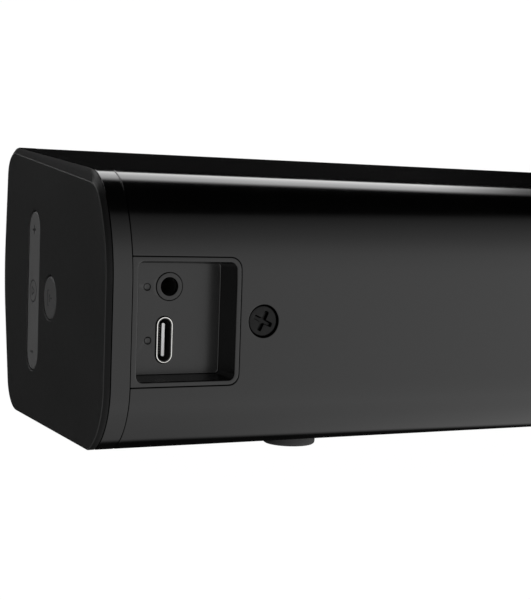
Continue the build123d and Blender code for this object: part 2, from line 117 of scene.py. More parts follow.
def insideOf(points, loops):
    # even-odd rule: a point is inside where a ray towards +X crosses the loops an odd number of times
    crossings = np.zeros(len(points), int)
    for verts, edges in loops:
        a, b = verts[edges[:, 0]], verts[edges[:, 1]]
        rise = b[:, 1] - a[:, 1]
        rise = np.where(np.abs(rise) < 1e-12, 1e-12, rise)
        spans = (a[None, :, 1] > points[:, None, 1]) != (b[None, :, 1] > points[:, None, 1])
        along = (points[:, None, 1] - a[None, :, 1]) / rise[None]
        meets = a[None, :, 0] + along * (b[None, :, 0] - a[None, :, 0])
        crossings += (spans & (meets > points[:, None, 0])).sum(1)
    return crossings % 2 == 1


def gapTo(points, loop):
    # distance from each point to the nearest edge of a loop
    verts, edges = loop
    a = verts[edges[:, 0]]
    run = verts[edges[:, 1]] - a
    offset = points[:, None] - a[None]
    share = (offset * run[None]).sum(-1) / np.maximum((run * run).sum(-1), 1e-18)[None]
    foot = a[None] + np.clip(share, 0, 1)[..., None] * run[None]
    return np.linalg.norm(points[:, None] - foot, axis=-1).min(1)


def pierced(loops, seeds=None, cuts=()):
    # Delaunay triangles between the first loop and the others; returns the directed edges of each loop
    verts = [loop[0] for loop in loops]
    edges = []
    start = 0
    for points, pairs in loops:
        edges.append(pairs + start)
        start += len(points)
    for cut in cuts:
        verts.append(np.array(cut, float))
        edges.append(np.array([[start, start + 1]]))
        start += 2
    if seeds is not None:
        clear = np.min([gapTo(seeds, loop) for loop in loops], axis=0) > shaping["seedGap"]
        verts.append(seeds[clear & insideOf(seeds, loops)])
    flat = [Vector(p) for p in np.vstack(verts).tolist()]
    made = delaunay_2d_cdt(flat, np.vstack(edges).tolist(), [], 0, 1e-5)
    points = np.array([tuple(v) for v in made[0]])
    triangles = np.array([f for f in made[2] if len(f) == 3])
    triangles = triangles[insideOf(points[triangles].mean(1), loops)]
    sides = np.vstack([triangles[:, [0, 1]], triangles[:, [1, 2]], triangles[:, [2, 0]]])
    key = np.sort(sides, 1) @ [len(points), 1]
    shared = np.unique(key, return_inverse=True)[1]
    border = sides[np.bincount(shared)[shared] == 1]
    owner = np.argmin([gapTo(points[border].mean(1), loop) for loop in loops], axis=0)
    return points, triangles, [border[owner == i] for i in range(len(loops))]


def hang(points, edges, profile, place):
    # walls hung from directed edges: step k moves the edge outwards along its mitre and down
    used, back = np.unique(edges, return_inverse=True)
    back = back.reshape(-1, 2)
    run = points[edges[:, 1]] - points[edges[:, 0]]
    normal = np.stack([run[:, 1], -run[:, 0]], 1) / np.linalg.norm(run, axis=1)[:, None]
    leaving = np.zeros((len(used), 2))
    arriving = np.zeros((len(used), 2))
    leaving[back[:, 0]] = normal
    arriving[back[:, 1]] = normal
    mitre = (leaving + arriving) / np.maximum(1 + (leaving * arriving).sum(1), shaping["miterLimit"])[:, None]
    verts = np.vstack([place(points[used] + out * mitre, down) for out, down in profile])
    quads = np.stack([back[:, 1], back[:, 0], back[:, 0] + len(used), back[:, 1] + len(used)], 1)
    steps = np.arange(len(profile) - 1)[:, None, None] * len(used)
    return verts, (quads[None] + steps).reshape(-1, 4), (points[used] + profile[-1][0] * mitre, back)


def edgeRound(radius, depth, steps=4, flare=0.0):
    # a quarter circle from the skin into a wall: (r sin t, r (1 - cos t)), then straight down
    turn = np.linspace(0, pi / 2, steps + 1)
    quarter = [(radius * sin(t), radius * (1 - cos(t))) for t in turn]
    return quarter + [(radius + flare, depth)]


def slab(place, outer, depth, edge=0.2, through=(), pockets=(), seeds=None, cuts=()):
    # top skin, rounded edges and walls, pockets with their floors, and an underside: one closed solid
    loops = [outer, *through, *[pocket["loop"] for pocket in pockets]]
    points, triangles, borders = pierced(loops, seeds, cuts)
    patches = [(place(points, 0), triangles)]
    ends = []
    for border in borders[:1 + len(through)]:
        verts, quads, last = hang(points, border, edgeRound(edge, depth), place)
        patches.append((verts, quads))
        ends.append(last)
    for border, pocket in zip(borders[1 + len(through):], pockets):
        profile = pocket["profile"]
        verts, quads, last = hang(points, border, profile, place)
        patches.append((verts, quads))
        floorDepth = profile[-1][1]
        holes = pocket.get("holes", [])
        floor, faces, floorBorders = pierced([last, *holes])
        patches.append((place(floor, floorDepth), faces))
        for floorBorder in floorBorders[1:]:
            walls = [(out, floorDepth + down) for out, down in edgeRound(0.08, depth - floorDepth, 2)]
            verts, quads, last = hang(floor, floorBorder, walls, place)
            patches.append((verts, quads))
            ends.append(last)
    under, faces, _ = pierced(ends, seeds, cuts)
    patches.append((place(under, depth), faces[:, ::-1]))
    return patches


def facing(axis, sign, level):
    # a flat face across an axis: depth is counted from its level back into the piece
    def place(points, depth):
        return np.insert(points, axis, level - sign * depth, axis=1)
    return place


def gridQuads(rows, columns, wrapRows=False):
    # the cells of a grid whose columns close on themselves: (i, j), (i, j + 1), (i + 1, j + 1), (i + 1, j)
    i = np.arange(rows if wrapRows else rows - 1)[:, None]
    j = np.arange(columns)[None]
    below, beside = (i + 1) % rows, (j + 1) % columns
    corner = [i * columns + j, i * columns + beside, below * columns + beside, below * columns + j]
    return np.stack(np.broadcast_arrays(*corner), -1).reshape(-1, 4)


def turned(axis, centre, profile, steps=48):
    # a closed profile of radius r and height h, carried round an axis: (r cos t, r sin t, h)
    radius, height = np.array(profile, float).T
    turn = np.linspace(0, 2 * pi, steps, endpoint=False)
    flat = np.stack([centre[0] + radius[:, None] * np.cos(turn), centre[1] + radius[:, None] * np.sin(turn)], -1)
    verts = np.insert(flat.reshape(-1, 2), axis, np.repeat(height, steps), axis=1)
    return [(verts, gridQuads(len(radius), steps, wrapRows=True))]


def tube(axis, centre, outerR, innerR, low, high, edges=(0.2,) * 4, arcSteps=3, steps=48):
    # a rectangle of wall and length, its corners rounded, carried round an axis
    corners = [(innerR, low), (outerR, low), (outerR, high), (innerR, high)]
    return turned(axis, centre, bend(corners, edges, arcSteps, closed=True), steps)


def bead(path, width, height, place, closed=False):
    # a raised stroke: an ellipse carried along a path, its size falling to nothing at open ends
    path = np.asarray(path, float)
    run = (np.roll(path, -1, 0) - np.roll(path, 1, 0)) if closed else np.gradient(path, axis=0)
    across = np.stack([run[:, 1], -run[:, 0]], 1) / np.linalg.norm(run, axis=1)[:, None]
    turn = np.linspace(0, 2 * pi, 12, endpoint=False)
    size = np.ones(len(path))
    if not closed:
        size[[0, -1]] = 0.0
        size[[1, -2]] = 0.75
    offset = path[:, None] + size[:, None, None] * width / 2 * np.cos(turn)[None, :, None] * across[:, None]
    lift = -size[:, None] * height * np.sin(turn)[None]
    verts = place(offset.reshape(-1, 2), lift.reshape(-1))
    return [(verts, gridQuads(len(path), len(turn), wrapRows=closed))]


def stroke(start, end):
    # a straight path whose points crowd at its ends
    share = np.array([0, 0.04, 0.12, 0.5, 0.88, 0.96, 1.0])[:, None]
    return np.array(start) * (1 - share) + np.array(end) * share


def settle(patches):
    # joins patches into one solid whose faces point outwards, by the sign of its volume
    verts, faces, start, volume = [], [], 0, 0.0
    for points, quads in patches:
        fan = [quads[:, [0, i, i + 1]] for i in range(1, quads.shape[1] - 1)]
        for a, b, c in (points[tri].transpose(1, 0, 2) for tri in fan):
            volume += np.einsum("ij,ij->", a, np.cross(b, c))
        verts.append(points)
        faces.append(quads + start)
        start += len(points)
    if volume < 0:
        faces = [f[:, ::-1] for f in faces]
    return np.vstack(verts), faces


def makePiece(name, solids, looks, replaced, body="housing"):
    # solids: pairs of patches and a finish number for all of them or one for each; welded and shaded by area
    verts, faces, numbers, start = [], [], [], 0
    for patches, number in solids:
        points, groups = settle(patches)
        verts.append(points)
        for group, own in zip(groups, np.broadcast_to(number, len(groups)).tolist()):
            faces.extend((group + start).tolist())
            numbers.extend([own] * len(group))
        start += len(points)
    mesh = bpy.data.meshes.new(name)
    mesh.from_pydata((np.vstack(verts) * mm).tolist(), [], faces)
    mesh.polygons.foreach_set("material_index", np.array(numbers, np.int32))
    work = bmesh.new()
    work.from_mesh(mesh)
    bmesh.ops.remove_doubles(work, verts=work.verts, dist=shaping["weld"])
    bmesh.ops.dissolve_degenerate(work, edges=work.edges, dist=shaping["sliver"])
    work.to_mesh(mesh)
    work.free()
    mesh.polygons.foreach_set("use_smooth", np.ones(len(mesh.polygons), bool))
    mesh.set_sharp_from_angle(angle=radians(shaping["sharpAngle"]))
    for look in looks:
        mesh.materials.append(finishes[look])
    piece = bpy.data.objects.new(name, mesh)
    bpy.context.scene.collection.objects.link(piece)
    shade = piece.modifiers.new("shade", "WEIGHTED_NORMAL")
    shade.keep_sharp = True
    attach(piece, body)
    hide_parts(*replaced)
    print(f"made {name}: {len(mesh.polygons)} faces")
    return piece


class Wire:
    # one shader socket; arithmetic on it adds Math nodes
    def __init__(self, nodes, socket):
        self.nodes = nodes
        self.socket = socket

    def maths(self, operation, first, second=0.0):
        return self.nodes.add("ShaderNodeMath", {"operation": operation}, {0: first, 1: second})

    def __add__(self, other):
        return self.maths("ADD", self, other)

    def __radd__(self, other):
        return self.maths("ADD", other, self)

    def __sub__(self, other):
        return self.maths("SUBTRACT", self, other)

    def __rsub__(self, other):
        return self.maths("SUBTRACT", other, self)

    def __mul__(self, other):
        return self.maths("MULTIPLY", self, other)

    def __rmul__(self, other):
        return self.maths("MULTIPLY", other, self)

    def above(self, level, soft):
        # 0 below level - soft, 1 above level + soft, smooth between
        return self.nodes.add("ShaderNodeMapRange", {"interpolation_type": "SMOOTHSTEP"},
                              {0: self, 1: level - soft, 2: level + soft, 3: 0.0, 4: 1.0})

    def atLeast(self, level):
        return self.maths("MAXIMUM", self, level)

    def wave(self):
        return self.maths("SINE", self)


class Nodes:
    def __init__(self, tree):
        self.tree = tree

    def add(self, kind, settings=None, values=None, output=0):
        node = self.tree.nodes.new(kind)
        for key, value in (settings or {}).items():
            if key == "stops":
                self.setStops(node.color_ramp, value)
            else:
                setattr(node, key, value)
        for key, value in (values or {}).items():
            self.plug(node.inputs[key], value)
        return Wire(self, node.outputs[output])

    def plug(self, socket, value):
        if isinstance(value, Wire):
            self.tree.links.new(value.socket, socket)
        else:
            socket.default_value = value

    def setStops(self, ramp, stops):
        while len(ramp.elements) < len(stops):
            ramp.elements.new(0.5)
        for element, (position, colour) in zip(ramp.elements, stops):
            element.position = position
            element.color = colour

    def axes(self, output=3):
        # x, y and z of a place on the piece, or with output 0 of a direction in the world
        split = self.tree.nodes.new("ShaderNodeSeparateXYZ")
        self.plug(split.inputs[0], self.add("ShaderNodeTexCoord", output=output))
        return [Wire(self, out) for out in split.outputs]

    def noise(self, size, detail=2.0, roughness=0.5):
        # size is the width of a patch in millimetres
        return self.add("ShaderNodeTexNoise", None,
                        {"Vector": self.add("ShaderNodeTexCoord", output=3), "Scale": 1 / (size * mm),
                         "Detail": detail, "Roughness": roughness})

    def mix(self, factor, first, second):
        return self.add("ShaderNodeMix", {"data_type": "RGBA"}, {0: factor, 6: tint(first), 7: tint(second)},
                        output=2)

    def bump(self, height, depth, strength=1.0):
        # depth is the relief in millimetres
        return self.add("ShaderNodeBump", None, {"Height": height, "Distance": depth * mm, "Strength": strength})


def tint(colour):
    # a number stands for a grey
    return (*colour, 1.0) if isinstance(colour, tuple) else (colour, colour, colour, 1.0)


def startFinish(name, **constants):
    material = bpy.data.materials.new(name)
    material.use_nodes = True
    nodes = Nodes(material.node_tree)
    shader = material.node_tree.nodes["Principled BSDF"]
    for socket, value in constants.items():
        shader.inputs[socket.replace("_", " ")].default_value = value
    return material, nodes, shader.inputs


wear = {"clouds": 14, "scuffs": 1.6, "cloudRough": 0.05, "scuffRough": 0.06,
        "metalClouds": 3, "metalRough": 0.15, "metalGrain": 0.15, "metalDepth": 0.004}


def plastic(name, colour, shade, rough, grainSize, grainDepth, ior=1.5):
    # colour = base to shade by broad clouds; roughness = rough + clouds + scuffs; height = fine moulded grain
    material, nodes, shader = startFinish(name, IOR=ior)
    clouds = nodes.noise(wear["clouds"], 3)
    grain = nodes.noise(grainSize, 2)
    scuffs = nodes.noise(wear["scuffs"], 4, 0.6)
    nodes.plug(shader["Base Color"], nodes.mix(clouds.above(0.5, 0.2), colour, shade))
    nodes.plug(shader["Roughness"],
               rough + wear["cloudRough"] * (clouds - 0.5) + wear["scuffRough"] * (scuffs - 0.5))
    nodes.plug(shader["Normal"], nodes.bump(grain, grainDepth))
    return material


def metal(name, colour, shade, rough):
    # colour = base to shade by clouds; roughness = rough + the same clouds; height = fine grain
    material, nodes, shader = startFinish(name, Metallic=1.0)
    clouds = nodes.noise(wear["metalClouds"], 3)
    grain = nodes.noise(wear["metalGrain"], 2)
    nodes.plug(shader["Base Color"], nodes.mix(clouds, colour, shade))
    nodes.plug(shader["Roughness"], rough + wear["metalRough"] * (clouds - 0.5))
    nodes.plug(shader["Normal"], nodes.bump(grain, wear["metalDepth"]))
    return material


def weave(name, colour, shade, pitch, depth):
    # crossed threads: height = sin(2 pi x / pitch) * sin(2 pi z / pitch) / 2 + 1 / 2, with some fuzz over it; colour
    # runs from shade in the hollows to colour on the crowns by that height, which is painted shade between the
    # threads, while the fuzz is the cloth's own random tone
    material, nodes, shader = startFinish(name, Roughness=0.9)
    x, _, z = nodes.axes()
    across = (x * (2 * pi / (pitch * mm))).wave()
    upright = (z * (2 * pi / (pitch * mm))).wave()
    height = (across * upright) * 0.5 + 0.5
    fuzzShare = 0.3
    fuzz = nodes.noise(0.3, 3)
    nodes.plug(shader["Base Color"], nodes.mix(height * (1 - fuzzShare) + fuzz * fuzzShare, shade, colour))
    nodes.plug(shader["Normal"], nodes.bump(height + fuzzShare * fuzz, depth))
    return material


def board(name, mask, copper, perMetre=(4200, 3100)):
    # green mask, paler over copper; tracks = where sin(a x) * sin(b z) passes a quarter; height = tracks + grain
    material, nodes, shader = startFinish(name, Roughness=0.35)
    x, _, z = nodes.axes()
    tracks = ((x * perMetre[0]).wave() * (z * perMetre[1]).wave()).above(0.25, 0.05)
    nodes.plug(shader["Base Color"], nodes.mix(tracks, mask, copper))
    nodes.plug(shader["Normal"], nodes.bump(tracks + 0.2 * nodes.noise(0.4, 2), 0.03))
    return material


plasticLooks = {
    # name, colour, shade, roughness, grain size, grain depth, and the IOR where it is not 1.5
    "shell": ("satinShell", 0.0008, 0.0012, 0.11, 0.28, 0.0014),
    "cap": ("satinCap", 0.0008, 0.0012, 0.12, 0.28, 0.0014),
    "panel": ("mattePanel", 0.0125, 0.0148, 0.64, 0.2, 0.02, 1.4),
    # panelSide: a darker copy of the panel's finish for the panel's side wall and stepped back, which paints shade
    # there
    "panelSide": ("panelSide", 0.002, 0.003, 0.5, 0.2, 0.01, 1.2),
    "insert": ("satinInsert", 0.003, 0.004, 0.24, 0.24, 0.002),
    "key": ("keyRubber", 0.122, 0.13, 0.55, 0.18, 0.012, 1.4),
    "button": ("buttonRubber", 0.078, 0.085, 0.55, 0.18, 0.012, 1.4),
    "mark": ("keyMark", 0.028, 0.036, 0.5, 0.2, 0.006),
    "inner": ("innerPlastic", 0.01, 0.016, 0.5, 0.5, 0.02),
    "grille": ("coatedSteel", 0.012, 0.016, 0.42, 0.22, 0.01),
    "tongue": ("tongueResin", 0.75, 0.68, 0.4, 0.3, 0.004),
    "pipe": ("lightPipe", 0.004, 0.006, 0.3, 0.4, 0.004),
    # chip: black chip plastic, also used in the USB port as painted shade on the liner and on the tongue's blade and
    # base
    "chip": ("chipBlack", 0.012, 0.02, 0.45, 0.2, 0.01),
    "sleeve": ("capacitorSleeve", (0.01, 0.012, 0.03), (0.012, 0.016, 0.04), 0.35, 0.6, 0.01),
    "socket": ("socketResin", (0.62, 0.6, 0.52), (0.55, 0.53, 0.45), 0.5, 0.4, 0.01),
    "cell": ("cellWrap", (0.02, 0.09, 0.16), (0.016, 0.075, 0.14), 0.35, 1.2, 0.01),
    "lead": ("leadInsulation", (0.25, 0.012, 0.01), (0.2, 0.01, 0.008), 0.45, 0.6, 0.01),
    "ferrite": ("magnetFerrite", 0.03, 0.045, 0.6, 0.25, 0.02),
    "paper": ("conePaper", 0.02, 0.032, 0.8, 0.35, 0.06),
    "surround": ("surroundRubber", 0.01, 0.014, 0.55, 0.4, 0.012),
    "foam": ("sealFoam", 0.012, 0.022, 0.95, 0.5, 0.2),
    "foot": ("footRubber", 0.012, 0.018, 0.7, 0.3, 0.03),
}
metalLooks = {
    # name, colour, shade, roughness
    "nickel": ("nickel", (0.78, 0.77, 0.74), (0.62, 0.61, 0.59), 0.22),
    "sink": ("finnedAluminium", 0.62, 0.5, 0.4),
    "basket": ("pressedSteel", 0.34, 0.26, 0.45),
    "plated": ("platedSteel", (0.66, 0.64, 0.6), (0.52, 0.5, 0.47), 0.3),
    "copper": ("coilCopper", (0.72, 0.3, 0.14), (0.6, 0.22, 0.1), 0.3),
    "screw": ("blackScrew", 0.02, 0.015, 0.42),
}
weaveLooks = {
    # name, colour on the threads' crowns, shade painted into the hollows between them, thread pitch, relief
    "cloth": ("grilleWeave", 0.012, 0.004, 0.5, 0.1),
    "spider": ("spiderCloth", (0.5, 0.33, 0.12), (0.32, 0.2, 0.07), 0.6, 0.1),
}
boardLooks = {
    # name, mask, copper
    "board": ("boardGreen", (0.004, 0.045, 0.016), (0.012, 0.11, 0.035)),
}
finishes = {}
for maker, looks in ((plastic, plasticLooks), (metal, metalLooks), (weave, weaveLooks), (board, boardLooks)):
    finishes.update({key: maker(*look) for key, look in looks.items()})
print("finishes", len(finishes))


casing = {
    # corner Y, corner Z, rounding
    "corners": [(27.9, 2.5, 0.6), (-31.2, 2.5, 8.0), (-36.17, 31.5, 60.0), (-35.2, 61.45, 7.0),
                (28.1, 55.45, 13.0), (36.0, 42.6, 29.0), (36.0, 6.5, 14.4)],
    "wall": 2.4, "frontEdge": -27.0, "edge": 0.22, "arcSteps": 28, "clearance": 0.1, "corner": 0.05,
    "rearFrom": 20, "underTo": 2.52,
}


def mitred(corners, inset):
    # every side moves in by inset, so a corner moves along its mitre and its rounding shrinks
    table = np.array(corners)
    corners, radii = table[:, :2], np.maximum(table[:, 2] - inset, 0.0)
    side = np.roll(corners, -1, 0) - corners
    out = np.stack([-side[:, 1], side[:, 0]], 1) / np.linalg.norm(side, axis=1)[:, None]
    before = np.roll(out, 1, 0)
    corners = corners - inset * (out + before) / (1 + (out * before).sum(1))[:, None]
    return bend(corners, radii, casing["arcSteps"], closed=True)


sectionShift = (mitred(casing["corners"], 0)[:, 0].min() + mitred(casing["corners"], 0)[:, 0].max()) / 2


def section(inset, corners=casing["corners"]):
    return mitred(corners, inset) - [sectionShift, 0]


def cutAcross(y, rear, inset=0.0, depth=1.0):
    # the stretch of the section behind (or before) a plane of constant y, with the same stretch further in
    sign = 1 if rear else -1
    both = np.hstack([section(inset), section(inset + depth)])
    both = np.roll(both, -np.argmin(sign * both[:, 0]), axis=0)
    side = sign * (both[:, 0] - y)
    kept = np.flatnonzero(side > 0)
    before, after = kept[0] - 1, (kept[-1] + 1) % len(both)
    start = both[before] + (both[kept[0]] - both[before]) * side[before] / (side[before] - side[kept[0]])
    end = both[after] + (both[kept[-1]] - both[after]) * side[after] / (side[after] - side[kept[-1]])
    rows = np.vstack([start, both[kept[0]:kept[-1] + 1], end])
    run = np.linalg.norm(np.diff(rows[:, :2], axis=0), axis=1)
    rows = rows[np.r_[True, run > 1e-6]]
    return np.r_[0, np.cumsum(np.linalg.norm(np.diff(rows[:, :2], axis=0), axis=1))], rows


def wrapped(along, rows, depthUnit=1.0):
    # (x, s, depth) to a point: the section's point at s, moved in by depth
    def place(points, depth):
        y = np.interp(points[:, 1], along, rows[:, 0])
        z = np.interp(points[:, 1], along, rows[:, 1])
        inY = np.interp(points[:, 1], along, rows[:, 2]) - y
        inZ = np.interp(points[:, 1], along, rows[:, 3]) - z
        share = depth / depthUnit
        return np.stack([points[:, 0], y + inY * share, z + inZ * share], 1)
    return place


def crossCuts(along, halfLength):
    # lines along X at every step of the section, so that a skin bends only at them
    return [[(-halfLength - 1, s), (halfLength + 1, s)] for s in along[1:-1]]


rearAlong, rearRows = cutAcross(casing["frontEdge"], True, depth=casing["wall"])
rearFace = wrapped(rearAlong, rearRows, casing["wall"])
shellHalf, shellBack = boxOf("rear_shell")[1][:2]
rearPart = rearRows[:, 0] > casing["rearFrom"]
underPart = rearRows[:, 1] < casing["underTo"]


def rearAt(z):
    # distance along the section to a height on the rear face
    return np.interp(-z, -rearRows[rearPart, 1], rearAlong[rearPart])


def underAt(y):
    # distance along the section to a depth on the underside
    return np.interp(-y, -rearRows[underPart, 0], rearAlong[underPart])


screws = {"xs": (-172.5, -58.0, 58.0, 172.5), "z": 27.6, "boreR": 3.2, "boreDepth": 2.2, "turn": 16.0,
          "turnStep": 3, "height": 1.8, "edge": 0.35, "arm": 2.1, "half": 0.5, "tip": 0.3, "shankR": 1.5,
          "bossR": 5.0, "bossBoreR": 1.7, "bossFrom": 29.0}
feet = {"radius": 5.5, "xs": (-157.0, 157.0), "ys": (-20.0, 18.2), "recess": 1.0, "gap": 0.1,
        "lip": 0.35, "lipRs": (1.6, 1.8, 2.2, 2.4)}
insert = {"low": 177.5, "high": 199.36, "bottom": 15.4, "top": 39.8, "corner": 2.0, "lip": 0.95,
          "recess": 6.7, "mouthCorner": 1.2, "taper": 4.0, "back": 1.0, "edge": 0.12, "lipRound": 0.35,
          "cove": 0.18, "socketGap": 0.2, "lightGap": 0.09, "bent": (34, 39.6), "postX": 180.8,
          "postZs": (20.0, 37.0), "postR": 2.2, "postBoreR": 0.9, "post": (21.0, 28.6)}
lightRadius = 0.7


def makeShell():
    edge = casing["edge"]
    gap = casing["clearance"]
    left, right = -shellHalf + edge, shellHalf - edge
    top, bottom = rearAt(insert["top"] + gap) - edge, rearAt(insert["bottom"] - gap) + edge
    inner = insert["low"] - gap - edge
    corners = [(left, edge), (right, edge), (right, top), (inner, top), (inner, bottom), (right, bottom),
               (right, rearAlong[-1] - edge), (left, rearAlong[-1] - edge)]
    mouth = insert["corner"] + gap + edge
    outline = bend(corners, [casing["corner"]] * 3 + [mouth] * 2 + [casing["corner"]] * 3, 8, closed=True)
    bores = [circle((x, rearAt(screws["z"])), screws["boreR"] + edge) for x in screws["xs"]]
    sockets = [{"loop": circle((x, underAt(y)), feet["radius"] + feet["gap"] + edge),
                "profile": edgeRound(edge, feet["recess"])}
               for x in feet["xs"] for y in feet["ys"]]
    shell = slab(rearFace, loopOf(outline), casing["wall"], edge, through=bores, pockets=sockets,
                 cuts=crossCuts(rearAlong, shellHalf))
    solids = [(shell, 0)]
    # a screw boss behind each bore: a stepped cup that overlaps the wall
    floorY, topY = shellBack - screws["boreDepth"], shellBack - casing["wall"] + 0.2
    bore, boss, narrow, end = screws["boreR"], screws["bossR"], screws["bossBoreR"], screws["bossFrom"]
    cup = [(bore, topY), (bore, floorY), (narrow, floorY), (narrow, end), (boss, end), (boss, topY)]
    cup = bend(cup, [0.02, 0.3, 0.2, 0.2, 0.3, 0.02], 3, closed=True)
    solids += [(turned(1, (x, screws["z"]), cup), 0) for x in screws["xs"]]
    makePiece("rearShell", solids, ["shell"], ["rear_shell"])


def makeInsert():
    edge = insert["edge"]
    heights, depths = rearRows[rearPart, 1][::-1], rearRows[rearPart, 0][::-1]
    floorY = shellBack - insert["recess"]
    far = boxOf("port_insert")[1][0]

    def place(points, depth):
        # y = the rear face at this height, moved to the flat floor in step with depth
        surface = np.interp(points[:, 1], heights, depths)
        sunk = min(depth / insert["recess"], 1.0)
        y = surface - (surface - floorY) * sunk - max(depth - insert["recess"], 0.0)
        return np.stack([points[:, 0], y, points[:, 1]], 1)

    outer = roundedBox((insert["low"] + edge, insert["bottom"] + edge), (far - edge, insert["top"] - edge),
                       [insert["corner"], 0.1, 0.1, insert["corner"]])
    lip, lipRound, cove = insert["lip"], insert["lipRound"], insert["cove"]
    mouth = roundedBox((insert["low"] + lip - lipRound, insert["bottom"] + lip - lipRound),
                       (insert["high"] - lip + lipRound, insert["top"] - lip + lipRound),
                       [insert["mouthCorner"] + lipRound] * 4)
    slope = tan(radians(insert["taper"]))
    deep = insert["recess"]
    profile = edgeRound(lipRound, deep * 0.5, 5, slope * deep * 0.5)
    foot = lipRound + slope * (deep - cove)
    profile += [(foot + cove * (1 - cos(t)), deep - cove + cove * sin(t)) for t in np.linspace(0, pi / 2, 5)]
    jack, jackSize = faceOf("jack_collar")
    port, portSize = faceOf("usb_c_shell")
    gap = insert["socketGap"]
    holes = [circle(jack, jackSize[0] / 2 + gap), stadium(port, portSize + 2 * gap)]
    holes += [circle(middle, lightRadius + insert["lightGap"], 24) for middle in lightPlaces()]
    bentFrom, bentTo = insert["bent"]
    bent = heights[(heights > bentFrom) & (heights < bentTo)][::3]
    cuts = [[(insert["low"] - 1, z), (insert["high"] + 1, z)] for z in bent]
    tub = slab(place, outer, deep + insert["back"], edge, cuts=cuts,
               pockets=[{"loop": mouth, "profile": profile, "holes": holes}])
    solids = [(tub, 0)]
    for z in insert["postZs"]:
        solids.append((tube(1, (insert["postX"], z), insert["postR"], insert["postBoreR"], *insert["post"]), 0))
    makePiece("portInsert", solids, ["insert"], ["port_insert"])


def lightPlaces():
    # the two lights stand at opposite corners of their box
    low, high = boxOf("status_lights")
    return [(high[0] - lightRadius, high[2] - lightRadius), (low[0] + lightRadius, low[2] + lightRadius)]


ring = {"width": 5.3, "land": 2.0, "shelf": 2.7, "shelfInset": 5.0, "edge": 0.12}


def makeRing(side):
    # a closed profile of inset d and place x, carried round the section
    end, face = boxOf("key_panel")[1][0], boxOf("right_end_cap")[1][0]
    seam, shelf = end - ring["width"], end - ring["shelf"]
    corners = [(0.0, seam), (0.0, face), (ring["land"], face), (ring["land"], shelf), (ring["shelfInset"], shelf),
               (ring["shelfInset"], seam)]
    profile = bend(corners, [ring["edge"]] * 6, 5, closed=True)
    rows = [section(inset) for inset in profile[:, 0]]
    verts = np.vstack([np.insert(row, 0, side * x, axis=1) for row, x in zip(rows, profile[:, 1])])
    name = "right" if side > 0 else "left"
    quads = gridQuads(len(profile), len(rows[0]), wrapRows=True)
    makePiece(f"{name}EndRing", [([(verts, quads)], 0)], ["cap"], [f"{name}_end_cap"])


panel = {
    # outline of the outer face: corner Y, corner Z, rounding; it meets the full section at the panel's back edge
    "corners": [(27.9, 2.5, 0.6), (-27.5, 2.5, 7.5), (-33.3, 31.5, 60.0), (-31.3, 60.0, 5.0), (29.6, 52.9, 7.5),
                (36.0, 42.6, 29.0), (36.0, 6.5, 14.4)],
    "edge": 0.22, "wall": 1.5, "thick": 2.2, "step": 2.15, "gap": 0.2, "spread": (0.5, 0.93), "seam": 0.12,
    "seedStep": 3.0, "seeds": ((-34, 4), (34, 60)),
}
keys = {"rocker": (-10.1, 30.0), "rockerSize": (8.2, 33.8), "button": (1.8, 29.4), "buttonR": 4.5, "sunk": 0.06,
        "edge": 0.5, "deep": 2.4, "seedStep": 1.2, "rib": (2.2, 2.0), "pinAt": 13.0, "pinR": 1.2,
        "plusReach": 1.05, "ringR": 2.3, "markLift": 0.05}


def keySeeds(step, low, high):
    # a grid of points whose every other row is moved by half a step
    y, z = np.meshgrid(np.arange(low[0], high[0], step), np.arange(low[1], high[1], step))
    return np.stack([y.ravel() + (np.arange(y.size) // y.shape[1] % 2) * step / 2, z.ravel()], 1)


def makePanel(side):
    # rows from the face's edge: a quarter circle, a wall that spreads to the full section, and a stepped back
    end = boxOf("key_panel")[1][0]
    edge, wall, thick = panel["edge"], panel["wall"], panel["thick"]
    rows, places = [], []
    for t in np.linspace(0, pi / 2, 5):
        rows.append(section(edge * (1 - sin(t)), panel["corners"]))
        places.append(end - edge * (1 - cos(t)))
    for share in panel["spread"]:
        rows.append(section(0.02, panel["corners"]) * (1 - share) + section(0.02) * share)
        places.append(end - wall * share)
    for inset, depth in ((panel["seam"], wall), (panel["step"], wall), (panel["step"] + 0.05, thick)):
        rows.append(section(inset))
        places.append(end - depth)
    verts = np.vstack([np.insert(row, 0, side * x, axis=1) for row, x in zip(rows, places)])
    around = gridQuads(len(rows), len(rows[0]))
    rounded = 4 * len(rows[0])
    patches = [(verts, around[:rounded]), (verts, around[rounded:])]

    holes = []
    if side > 0:
        grown = 2 * (panel["gap"] + edge)
        holes = [stadium(np.array(keys["rocker"]), np.array(keys["rockerSize"]) + grown, 32),
                 circle(keys["button"], keys["buttonR"] + panel["gap"] + edge)]
    place = facing(0, side, side * end)
    seeds = keySeeds(panel["seedStep"], *panel["seeds"])
    points, triangles, borders = pierced([loopOf(rows[0]), *holes], seeds)
    patches.append((place(points, 0), triangles))
    ends = [loopOf(rows[-1])]
    for border in borders[1:]:
        walls, quads, last = hang(points, border, edgeRound(edge, thick), place)
        patches.append((walls, quads))
        ends.append(last)
    back, faces, _ = pierced(ends, seeds)
    patches.append((place(back, thick), faces[:, ::-1]))
    title, name = ("keyPanel", "key_panel") if side > 0 else ("blankPanel", "left_panel")
    # the wall, the step and the back take the darker copy of the panel's finish: painted shade on the panel's side
    numbers = [0, 1] + [0] * (len(patches) - 2)
    makePiece(title, [(patches, numbers)], ["panel", "panelSide"], [name])


def crowned(centre, half, top, crown):
    # x = top - crown * (distance across / half width)^2 - depth
    def place(points, depth):
        across = np.clip(np.abs(points[:, 0] - centre[0]) / half, 0, 1)
        return np.insert(points, 0, top - crown * across ** 2 - depth, axis=1)
    return place


